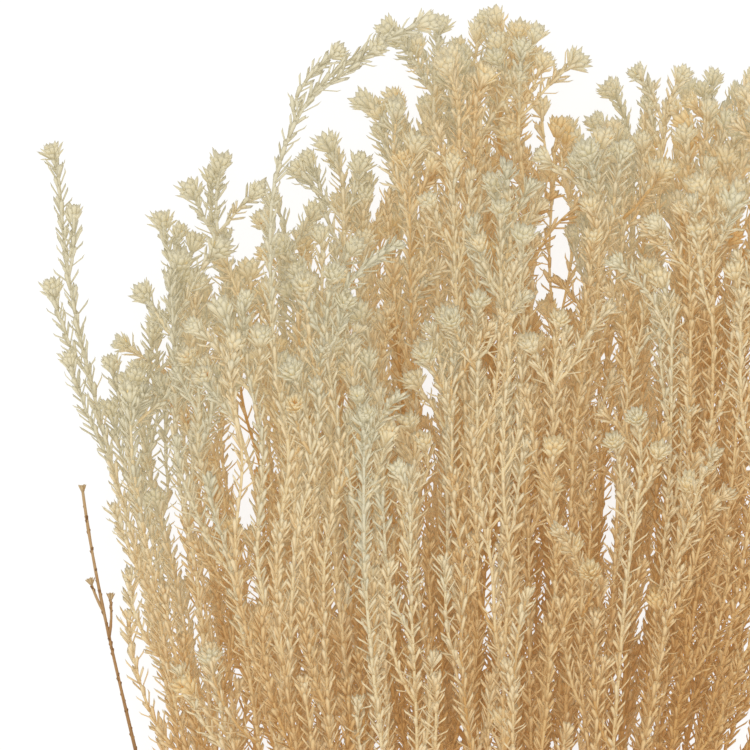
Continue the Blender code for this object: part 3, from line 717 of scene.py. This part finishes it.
def add_leaves(soup, line, leafy_from, tone, radius, habit, draw):
    """Leaves in a spiral up a line, dense under its tip and pressed to the stem low down."""
    start = np.interp(leafy_from, line.points[:, 1], line.run)
    end = line.run[-1] - 0.8 * MM
    count = int((end - start) * LEAVES_PER_METRE * habit.density)
    if count < 2:
        return
    places = start + (end - start) * (np.arange(count) + draw.uniform(0.0, 1.0, count)) / count
    extra = end - COLLAR * draw.uniform(0.0, 1.0, COLLAR_LEAVES) ** 1.3
    places = np.concatenate((places, extra))
    points, along, side, up = line.at(places)
    thin = np.clip((points[:, 1] - LEAFY_FROM) / (LEAFY_FULL - LEAFY_FROM), 0.0, 1.0)
    keep = draw.uniform(0.0, 1.0, len(places)) < LOW_LEAVES + (1.0 - LOW_LEAVES) * thin
    turns = GOLDEN_ANGLE * np.arange(len(places)) + draw.normal(0.0, UNEVEN_TURNS, len(places))
    turns += draw.uniform(0.0, 2.0 * np.pi)
    out = outwards_at(turns, side, up)
    size = draw.normal(1.0, 0.16, len(places)).clip(0.6, 1.35)
    angle = LEAF_ANGLE * habit.spread * (LOW_ANGLE + (1.0 - LOW_ANGLE) * thin)
    angle *= draw.normal(1.0, 0.3, len(places)).clip(0.3, 1.7)
    curl = LEAF_CURL * draw.normal(1.0, 0.5, len(places))
    roots = points + out * radius * 0.55
    keep &= ~in_partings(roots + (out + along) * 0.6 * LEAF_LENGTH, 0.25)
    tones = tone + tone_and_painted_light_at(roots) + draw.normal(0.0, LEAF_TONES, len(places))
    chosen = [values[keep] for values in (roots, along, out, LEAF_LENGTH * size, angle, curl, tones)]
    roots, along, out, length, angle, curl, tones = chosen
    width = LEAF_WIDTH * draw.normal(1.0, 0.1, len(roots)).clip(0.75, 1.25)
    add_blades(soup, LEAF, roots, along, out, length, width, angle, curl, tones)


def add_scars(soup, line, end, per_metre, radius, tone, draw):
    """The low scars that fallen leaves have left round a bare stem, or round a stripped length of it."""
    places = np.sort(draw.uniform(4.0 * MM, end, int(end * per_metre)))
    points, along, side, up = line.at(places)
    turns = GOLDEN_ANGLE * np.arange(len(places)) + draw.normal(0.0, 0.3, len(places))
    out = outwards_at(turns, side, up)
    length = draw.uniform(*SCAR_LENGTHS, len(places)) * MM
    tones = tone + draw.uniform(-0.3, 0.3, len(places))
    roots = points + out * (radius - 0.2 * MM)
    add_blades(soup, BARK, roots, along, out, length, SCAR_WIDTH, SCAR_ANGLE, 0.0, tones)


# Heads

def ring_of(end, count, turn):
    """The directions along and out of count blades evenly round a line's end."""
    along, side, up = end
    turns = turn + 2.0 * np.pi * np.arange(count) / count
    out = outwards_at(turns, side, up)
    return np.tile(along, (count, 1)), out


def add_head(soup, line, tone, draw):
    """A starry head: whorls of pointed bracts round a low disc of florets."""
    top, end = line.points[-1], line.end()
    tone = tone + tone_and_painted_light_at(top[None])[0]
    size, openness = draw.uniform(*HEAD_SIZES), draw.uniform(*OPENINGS)
    tawny = draw.uniform() < TAWNY_SHARE
    spin = draw.uniform(0.0, 2.0 * np.pi)
    for i, (count, spread, curl, length, width) in enumerate(BRACT_WHORLS):
        along, out = ring_of(end, count, spin + 0.5 * i)
        out = unit(out + draw.normal(0.0, 0.08, out.shape))
        roots = top + end[0] * (0.35 * i - 0.9) * MM + out * (0.62 - 0.12 * i) * MM
        angle = np.radians(spread * openness + draw.normal(0.0, 5.0, count))
        lengths = length * MM * size * draw.normal(1.0, 0.08, count)
        widths = np.full(count, width * MM * size)
        tones = tone + (TAWNY_TONE if tawny else PALE_TONE) + draw.normal(0.0, 0.05, count)
        add_blades(soup, BRACT, roots, along, out, lengths, widths, angle, math.radians(curl), tones)
    add_disc(soup, top, end, size, tawny, draw)


def add_disc(soup, top, end, size, tawny, draw):
    """The florets in the middle of a head, brown in a tawny one."""
    spread = np.sqrt((np.arange(FLORETS) + 0.5) / FLORETS)
    turns = GOLDEN_ANGLE * np.arange(FLORETS)
    along, side, up = end
    out = outwards_at(turns, side, up)
    roots = top + out * (spread * DISC_RADIUS * 0.7)[:, None] * size
    along = np.tile(along, (FLORETS, 1))
    length = draw.uniform(*FLORET_LENGTHS, FLORETS) * MM * size
    tones = np.full(FLORETS, TAWNY_DISC if tawny else PALE_DISC) + draw.normal(0.0, 0.1, FLORETS)
    add_blades(soup, FLORET, roots, along, out, length, FLORET_WIDTH, 0.55 * spread, 0.1, tones)


def add_tuft(soup, line, tone, draw):
    """The leaf tuft that ends a shoot without a head."""
    along, out = ring_of(line.end(), TUFT_LEAVES, draw.uniform(0.0, 6.0))
    roots = line.points[-1] - line.along[-1] * draw.uniform(0.0, 1.5, (TUFT_LEAVES, 1)) * MM
    angle = np.radians(draw.uniform(*TUFT_ANGLES, TUFT_LEAVES))
    length = LEAF_LENGTH * draw.uniform(0.7, 1.05, TUFT_LEAVES)
    tones = tone + tone_and_painted_light_at(roots) + draw.normal(0.0, 0.06, TUFT_LEAVES)
    add_blades(soup, LEAF, roots, along, out, length, LEAF_WIDTH, angle, LEAF_CURL, tones)


def add_calyx(soup, line, draw):
    """The small dry cup of narrow teeth that is left on a bare twig's tip."""
    top, end = line.points[-1], line.end()
    for count, spread, length in CALYX_WHORLS:
        along, out = ring_of(end, count, draw.uniform(0.0, 6.0))
        roots = top - end[0] * 0.7 * MM + out * 0.3 * MM
        angle = np.radians(spread + draw.normal(0.0, 5.0, count))
        tones = CUP_TONE + draw.normal(0.0, 0.1, count)
        add_blades(soup, BRACT, roots, along, out, length * MM, TOOTH_WIDTH, angle, -0.1, tones)


# Stems

def tone_and_painted_light_at(points):
    """The tone of places in the bunch: greyish ivory at the crown, on the left and on top of the pile,
    golden tan deep down. It is partly the plant's own colour and partly painted light: golden warmth where
    bounced light would fill the depths, greyer and dimmer where the bunch is exposed to the light.
    """
    across, height, rise = ((points - MIDDLE) / HALF_SPANS).T
    crown = np.interp(points[:, 0] / MM, *zip(*CROWN_OUTLINE)) * MM
    near_crown = np.exp((points[:, 1] - crown).clip(None, 0.0) / CROWN_FADE)
    # Painted light: places near the crown's outline and past the left edge are made greyer and dimmer,
    # against the light they catch.
    exposed_painted_dimming = CROWN_TONE_AND_PAINTED_LIGHT * near_crown + (LEFT_EDGE - across).clip(0.0)
    # Partly the plant's own colour and partly painted light: golden tan towards the right, towards the cut
    # ends and deep in the pile, where bounced light would warm the shade, greyer on top.
    inside = ACROSS_TONE * across + HEIGHT_TONE * height.clip(-1.3, 1.0)
    return MIDDLE_TONE + exposed_painted_dimming + inside + LOW_TONE * height.clip(-1.3, 0.0) + UPPER_PAINTED_LIGHT_TONE * rise


def grow_shoots(stem, parent, start, end, draw):
    """Short leafy shoots along a leader or a long twig. Low on the bunch's flanks they lean outwards."""
    shoots = []
    y = start + draw.uniform(0.0, 1.0) * SHOOT_SPACING
    while y < end - LAST_SHOOT:
        length = min(draw.uniform(*SHOOT_LENGTHS) * MM, end - y - UNDER_TIP)
        turn, reach = draw.uniform(0.0, 2.0 * np.pi), draw.uniform(*SHOOT_OFFSETS) * MM
        if abs(stem.x_crown) > FLANK and y < FLANK_TOP:
            turn = 0.35 * (turn - np.pi) + (np.pi if stem.x_crown < 0.0 else 0.0)
            reach *= 1.0 if stem.given else FLANK_LEAN
        room = outwards(y, SPREAD_POWER)
        offset = (reach * math.cos(turn) / room, SHOOT_HEIGHT * reach * math.sin(turn))
        curl = (draw.uniform(-2.0, 2.0) * MM, draw.uniform(-1.0, 2.5) * MM)
        shoot = kept_low(stem, Twig(y, y + length, offset, draw.uniform(*SHOOT_REACHES) * MM, curl, parent))
        ends = np.array([twig_point(stem, shoot, y + share * length) for share in (0.5, 1.0)])
        if length > LEAST_SHOOT and ends[1, 2] > LOWEST_TIP and not in_partings(ends).any():
            shoots.append(shoot)
        y += draw.uniform(0.7, 1.3) * SHOOT_SPACING
    return shoots


def kept_low(stem, shoot):
    """The shoot, turned downwards where it would stand proud of the bunch."""
    if twig_point(stem, shoot, shoot.tip).z > HIGHEST_TIP:
        (x, z), (curl_x, curl_z) = shoot.offset, shoot.curl
        shoot.offset, shoot.curl = (x, -abs(z)), (curl_x, -abs(curl_z))
    return shoot


def in_partings(points, share=1.0):
    """Which points lie in the gaps between the stems, or in a middle share of their width."""
    inside = np.zeros(len(points), dtype=bool)
    for gap_x, gap_y, half_width, half_length in PARTINGS:
        across = (points[:, 0] / MM - gap_x) / (half_width * share)
        along = (points[:, 1] / MM - gap_y) / half_length
        inside |= across * across + along * along < 1.0
    return inside


def in_crown(point):
    """Whether a tip lies near the crown's outline."""
    return point[1] > crown_height(point[0]) - CROWN_DEPTH


def grow_crown(stem, parent, draw):
    """The short shoots close under a head that crowd the crown with more heads."""
    top = parent.tip if parent else stem.tip
    shoots = []
    for _ in range(draw.integers(1, 3)):
        gap = crown_height(path_of(stem, parent)(top).x) - top
        lowest, highest = CROWN_TIPS
        tip = top + draw.uniform(lowest, min(highest, max(0.0, gap / MM)) - 1.0) * MM
        length = draw.uniform(*CROWN_SHOOT_LENGTHS) * MM + max(0.0, tip - top)
        turn, reach = draw.uniform(0.0, 2.0 * np.pi), draw.uniform(*CROWN_OFFSETS) * MM
        offset = (reach * math.cos(turn), SHOOT_HEIGHT * reach * math.sin(turn))
        curl = ((draw.uniform(-2.0, 2.0) + CROWN_LEAN * math.cos(turn)) * MM, draw.uniform(-1.0, 2.5) * MM)
        shoots.append(kept_low(stem, Twig(tip - length, tip, offset, CROWN_REACH, curl, parent)))
    return [shoot for shoot in shoots if twig_point(stem, shoot, shoot.tip).z > LOWEST_TIP]


def add_axis(soup, stem, twig, radii, habit, draw):
    """The bark and leaves of one leader, twig or shoot. Returns its line and its own tone."""
    start, end = (twig.fork, twig.tip) if twig else (stem.cut, stem.tip)
    line = sample_line(path_of(stem, twig), start, end)
    tone = habit.tone + draw.normal(0.0, TWIG_TONES)
    add_bark(soup, line, *radii, tone, draw)
    if stem.bare:
        add_scars(soup, line, line.run[-1] - 0.5 * MM, SCARS_PER_METRE, radii[1], BARE_SCAR_TONE, draw)
    else:
        if not twig:
            stripped = np.interp(LEAFY_FROM, line.points[:, 1], line.run)
            add_scars(soup, line, stripped, STRIPPED_SCARS_PER_METRE, 0.9 * radii[0], SCAR_TONE, draw)
        add_leaves(soup, line, max(LEAFY_FROM, start + 2.0 * MM), tone, radii[1], habit, draw)
    return line, tone


def habit_of(stem, draw):
    """Stems that stand alone at the bunch's edge have denser and more pressed leaves."""
    tone = draw.normal(0.0, STEM_TONES)
    if stem.given or stem.arch:
        return Habit(tone, SOLITARY_LEAVES, SOLITARY_SPREAD)
    return Habit(tone, 1.0, draw.uniform(*LEAF_SPREADS))


def dress_stem(stem, number):
    """The whole of one stem as it is seen."""
    draw = np.random.default_rng(FIRST_SEED + number)
    soup = Soup()
    twig_radii = (TWIG_BARK_RADIUS, TWIG_BARK_TIP_RADIUS)
    habit = habit_of(stem, draw)
    tips = [add_axis(soup, stem, None, (BARK_RADIUS, BARK_TIP_RADIUS), habit, draw)]
    for twig in stem.twigs:
        tips.append(add_axis(soup, stem, twig, twig_radii, habit, draw))
    for line, tone in tips:
        if stem.bare:
            add_calyx(soup, line, draw)
        else:
            add_head(soup, line, tone, draw)
    if not stem.bare:
        add_shoots(soup, stem, twig_radii, habit, draw)
    return soup


def add_shoots(soup, stem, radii, habit, draw):
    """The shoots along a stem, each with a leaf tuft or a head. One with given twigs has low ones only."""
    long = [twig for twig in stem.twigs if twig.reach > SHORT_REACH and stem.given is None]
    for parent in (None, *long):
        arching = stem.arch and not parent
        start = max(SHOOTS_FROM, parent.fork + LEAST_SHOOT) if parent else SHOOTS_FROM
        end = GIVEN_SHOOTS_TO if stem.given else (parent or stem).tip
        if arching:
            end -= BARE_ARCH
        for shoot in grow_shoots(stem, parent, start, end, draw):
            line, tone = add_axis(soup, stem, shoot, radii, habit, draw)
            share = CROWN_HEAD_SHARE if in_crown(line.points[-1]) else SHOOT_HEAD_SHARE
            add_tip = add_head if draw.uniform() < share else add_tuft
            add_tip(soup, line, tone, draw)
        for shoot in [] if stem.given or arching else grow_crown(stem, parent, draw):
            line, tone = add_axis(soup, stem, shoot, radii, habit, draw)
            crowded = in_crown(line.points[-1]) and draw.uniform() < CROWDED_HEAD_SHARE
            add_tip = add_head if crowded else add_tuft
            add_tip(soup, line, tone, draw)


# Materials

def new_material(name, roughness):
    """A material and the parts of it that are set next: its nodes, its links and its shader."""
    material = bpy.data.materials.new(name)
    material.use_nodes = True
    nodes, links = material.node_tree.nodes, material.node_tree.links
    shader = nodes["Principled BSDF"]
    shader.inputs["Roughness"].default_value = roughness
    shader.inputs["Specular IOR Level"].default_value = 0.25
    return material, nodes, links, shader


def noise(nodes, links, scale, detail=3.0):
    """Noise over the object's own coordinates, in waves of about 1 / scale metres."""
    place = nodes.new("ShaderNodeTexCoord")
    texture = nodes.new("ShaderNodeTexNoise")
    texture.inputs["Scale"].default_value = scale
    texture.inputs["Detail"].default_value = detail
    links.new(place.outputs["Object"], texture.inputs["Vector"])
    return texture.outputs["Fac"]


def combine(nodes, links, operation, *values):
    """A math node over two or three values, each a socket or a number."""
    node = nodes.new("ShaderNodeMath")
    node.operation = operation
    for socket, value in zip(node.inputs, values):
        if isinstance(value, float):
            socket.default_value = value
        else:
            links.new(value, socket)
    return node.outputs[0]


def read(nodes, label):
    """A value that the mesh holds for each of its points."""
    node = nodes.new("ShaderNodeAttribute")
    node.attribute_name = label
    return node.outputs["Fac"]


def ramp(nodes, links, value, stops):
    """A colour ramp through stops of (place, colour)."""
    node = nodes.new("ShaderNodeValToRGB")
    elements = node.color_ramp.elements
    while len(elements) < len(stops):
        elements.new(0.5)
    for element, (place, colour) in zip(elements, stops):
        element.position = place
        element.color = (*colour, 1.0)
    links.new(value, node.inputs["Fac"])
    return node.outputs["Color"]


def mixed(nodes, links, share, colour, other):
    """A colour socket mixed with a share of another colour."""
    node = nodes.new("ShaderNodeMix")
    node.data_type = "RGBA"
    links.new(share, node.inputs["Factor"])
    links.new(colour, node.inputs[6])
    node.inputs[7].default_value = (*other, 1.0)
    return node.outputs[2]


def bump(nodes, links, shader, height, strength, distance):
    """Gives a shader's surface small heights, up to a distance in metres."""
    node = nodes.new("ShaderNodeBump")
    node.inputs["Strength"].default_value = strength
    node.inputs["Distance"].default_value = distance
    links.new(height, node.inputs["Height"])
    links.new(node.outputs["Normal"], shader.inputs["Normal"])


# A glow in each dried surface's own colour, as a share of that colour: painted light that fills the shade
# between the leaves, standing in for the light that thin bleached leaves let through
PAINTED_GLOW = 0.2

# How many waves of mottling and of shine there are in a metre, and how deep the grain is
MOTTLE_SCALE = 140.0
SHINE_SCALE = 900.0
GRAIN_DEPTH = 0.12 * MM

# Colours: of a blade's dry point, and of each surface over its tones or, for the band, its mottling
TIP_COLOUR = (0.36, 0.31, 0.20)

# The low stops colour the deep places golden and the high ones the exposed places greyish ivory, so the
# stops carry the painted light of the tones as well as the plant's colour.
LEAF_STOPS = (
    (0.0, (0.62, 0.385, 0.16)), (0.3, (0.73, 0.52, 0.265)), (0.6, (0.80, 0.65, 0.405)),
    (0.85, (0.76, 0.66, 0.45)), (1.0, (0.69, 0.635, 0.46)),
)
BRACT_STOPS = (
    (0.0, (0.72, 0.43, 0.16)), (0.3, (0.79, 0.58, 0.29)), (0.6, (0.82, 0.68, 0.42)),
    (0.85, (0.79, 0.69, 0.47)), (1.0, (0.74, 0.675, 0.48)),
)
FLORET_STOPS = ((0.0, (0.34, 0.12, 0.02)), (0.35, (0.78, 0.38, 0.08)), (0.8, (0.86, 0.70, 0.38)))
BARK_STOPS = (
    (0.0, (0.61, 0.38, 0.15)), (0.35, (0.71, 0.53, 0.28)), (0.7, (0.77, 0.65, 0.41)),
    (1.0, (0.67, 0.62, 0.46)),
)
BAND_STOPS = ((0.3, (0.50, 0.32, 0.15)), (0.7, (0.66, 0.46, 0.24)))
BROWN_STOPS = ((0.0, (0.20, 0.10, 0.04)), (0.5, (0.37, 0.21, 0.09)), (1.0, (0.52, 0.38, 0.21)))


def plant_material(name, stops, reach_gain, mottle, grain, dark_tip=0.0, roughness=0.72):
    """A dried surface: its tone, shifted towards the tip, mottled, with a fine grain, a darker point and a
    painted glow of its own colour.
    """
    material, nodes, links, shader = new_material(name, roughness)
    mottling = noise(nodes, links, MOTTLE_SCALE)
    patches = combine(nodes, links, "MULTIPLY_ADD", mottling, mottle, -0.5 * mottle)
    tip = combine(nodes, links, "MULTIPLY", read(nodes, "reach"), reach_gain)
    tone = combine(nodes, links, "ADD", read(nodes, "tone"), combine(nodes, links, "ADD", patches, tip))
    colour = ramp(nodes, links, tone, stops)
    if dark_tip:
        point = ramp(nodes, links, read(nodes, "reach"), ((WIDEST, (0.0,) * 3), (1.0, (dark_tip,) * 3)))
        colour = mixed(nodes, links, point, colour, TIP_COLOUR)
    links.new(colour, shader.inputs["Base Color"])
    # Painted light: the surface glows with its own colour, which fills its shade.
    links.new(colour, shader.inputs["Emission Color"])
    shader.inputs["Emission Strength"].default_value = PAINTED_GLOW
    shine = noise(nodes, links, SHINE_SCALE)
    rough = combine(nodes, links, "MULTIPLY_ADD", shine, 0.3, roughness - 0.15)
    links.new(rough, shader.inputs["Roughness"])
    bump(nodes, links, shader, noise(nodes, links, grain), 0.5, GRAIN_DEPTH)
    return material


def make_materials():
    """The materials of a leafy stem, in the order of their slots, and those of the bare one."""
    leafy = [
        plant_material("staavia_bark", BARK_STOPS, 0.05, 0.4, 1500.0),
        plant_material("staavia_leaf", LEAF_STOPS, 0.1, 0.3, 1200.0, dark_tip=0.4),
        plant_material("staavia_bract", BRACT_STOPS, 0.15, 0.25, 1000.0, dark_tip=0.3),
        plant_material("staavia_floret", FLORET_STOPS, 0.2, 0.3, 1500.0),
    ]
    brown = plant_material("bare_bark", BROWN_STOPS, 0.1, 0.7, 900.0)
    return leafy, [brown, brown, brown, brown]


def add_object(name, mesh, materials, node):
    """A piece that stands for a node: it takes the given materials, joins the root body and hides the
    node's imported part.
    """
    for material in materials:
        mesh.materials.append(material)
    piece = bpy.data.objects.new(name, mesh)
    bpy.context.scene.collection.objects.link(piece)
    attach(piece, "root")
    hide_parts(node)


# The tie

def make_tie(stems):
    """A flat elastic band with rounded edges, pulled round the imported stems."""
    material, nodes, links, shader = new_material("elastic_band", 0.55)
    colour = ramp(nodes, links, noise(nodes, links, 220.0), BAND_STOPS)
    links.new(colour, shader.inputs["Base Color"])
    bump(nodes, links, shader, noise(nodes, links, 2500.0), 0.3, 0.05 * MM)
    outline = band_outline(stems)
    turns = np.linspace(0.0, 2.0 * np.pi, BAND_SIDES, endpoint=False)
    section = [(math.cos(turn), math.sin(turn)) for turn in turns]
    points = []
    for x, z, nx, nz in outline:
        for across, out in section:
            flat = math.copysign(abs(across) ** FLATNESS, across) * TIE_WIDTH / 2.0
            rounded = math.copysign(abs(out) ** EDGE_ROUNDING, out)
            depth = TIE_GAP + TIE_THICKNESS * (0.5 + 0.5 * rounded)
            points.append((x + nx * depth, flat, z + nz * depth))
    count, sides = len(outline), len(section)
    i, k = np.meshgrid(np.arange(count), np.arange(sides), indexing="ij")
    a, b = i * sides + k, i * sides + (k + 1) % sides
    c, d = ((i + 1) % count) * sides + k, ((i + 1) % count) * sides + (k + 1) % sides
    soup = Soup()
    soup.add(np.array(points), skin_between(a, b, c, d), 0, 0.5, 0.5)
    add_object("tie_band", soup.to_mesh("tie_band"), [material], "tie")


def band_outline(stems):
    """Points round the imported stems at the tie, each with its outward direction: (x, z, nx, nz)."""
    turns = np.linspace(0.0, 2.0 * np.pi, BAND_POINTS, endpoint=False)
    centres = np.array([stem_point(stem, 0.0) for stem in stems])[:, (0, 2)]
    outline = []
    for turn in turns:
        nx, nz = math.cos(turn), math.sin(turn)
        x, z = centres[np.argmax(centres @ (nx, nz))]
        outline.append((x + nx * BARK_RADIUS, z + nz * BARK_RADIUS, nx, nz))
    return outline


# Floor, light and camera

VIEW_CENTRE = Vector((-25.0 * MM, 415.0 * MM, 45.0 * MM))
VIEW_WIDTH = 250.0 * MM
CAMERA_HEIGHT = 2.4
SENSOR = 36.0
FLOOR_REACH = 3.0
FLOOR_COLOUR = (0.22, 0.22, 0.22, 1.0)
FLOOR_GLOW = 0.84
SKY_COLOUR = (1.0, 0.99, 0.97, 1.0)
SKY_STRENGTH = 0.85
KEY_PLACE, KEY_TARGET = (-0.1, 0.5, 2.5), (-0.025, 0.40, 0.0)
KEY_SIZE = 0.6
KEY_POWER = 9.0


def make_floor():
    """A plain pale floor, lit from within so that it stays white."""
    material, nodes, links, shader = new_material("floor", 0.9)
    shader.inputs["Base Color"].default_value = FLOOR_COLOUR
    shader.inputs["Emission Color"].default_value = (1.0, 1.0, 1.0, 1.0)
    shader.inputs["Emission Strength"].default_value = FLOOR_GLOW
    mesh = bpy.data.meshes.new("floor")
    corners = [(x * FLOOR_REACH, y * FLOOR_REACH, 0.0) for x, y in ((-1, -1), (1, -1), (1, 1), (-1, 1))]
    mesh.from_pydata(corners, [], [(0, 1, 2, 3)])
    mesh.materials.append(material)
    floor = bpy.data.objects.new("floor", mesh)
    bpy.context.scene.collection.objects.link(floor)


def make_light(name, place, target, size, power):
    """A square lamp that faces a target."""
    light = bpy.data.lights.new(name, "AREA")
    light.size = size
    light.energy = power
    lamp = bpy.data.objects.new(name, light)
    lamp.location = place
    lamp.rotation_euler = (Vector(target) - Vector(place)).to_track_quat("-Z", "Y").to_euler()
    bpy.context.scene.collection.objects.link(lamp)


def make_lights():
    """Soft light from all round, and one broad lamp above."""
    world = bpy.data.worlds.new("studio")
    bpy.context.scene.world = world
    world.use_nodes = True
    sky = world.node_tree.nodes["Background"]
    sky.inputs["Color"].default_value = SKY_COLOUR
    sky.inputs["Strength"].default_value = SKY_STRENGTH
    make_light("key", KEY_PLACE, KEY_TARGET, KEY_SIZE, KEY_POWER)


def make_camera():
    """A long lens straight above the upper part of the bunch."""
    data = bpy.data.cameras.new("camera")
    data.sensor_width = SENSOR
    data.lens = SENSOR * (CAMERA_HEIGHT - VIEW_CENTRE.z) / VIEW_WIDTH
    camera = bpy.data.objects.new("camera", data)
    camera.location = (VIEW_CENTRE.x, VIEW_CENTRE.y, CAMERA_HEIGHT)
    bpy.context.scene.collection.objects.link(camera)
    bpy.context.scene.camera = camera


def main():
    """Dresses each stem of the bunch and its tie, and sets them on the floor under the camera."""
    bpy.context.scene.view_settings.view_transform = "Standard"
    stems = plan_bunch()
    leafy, brown = make_materials()
    for number, stem in enumerate(stems):
        mesh = dress_stem(stem, number).to_mesh(f"{stem.name}_dried")
        add_object(f"{stem.name}_dried", mesh, brown if stem.bare else leafy, stem.name)
    make_tie(stems)
    make_floor()
    make_lights()
    make_camera()


main()
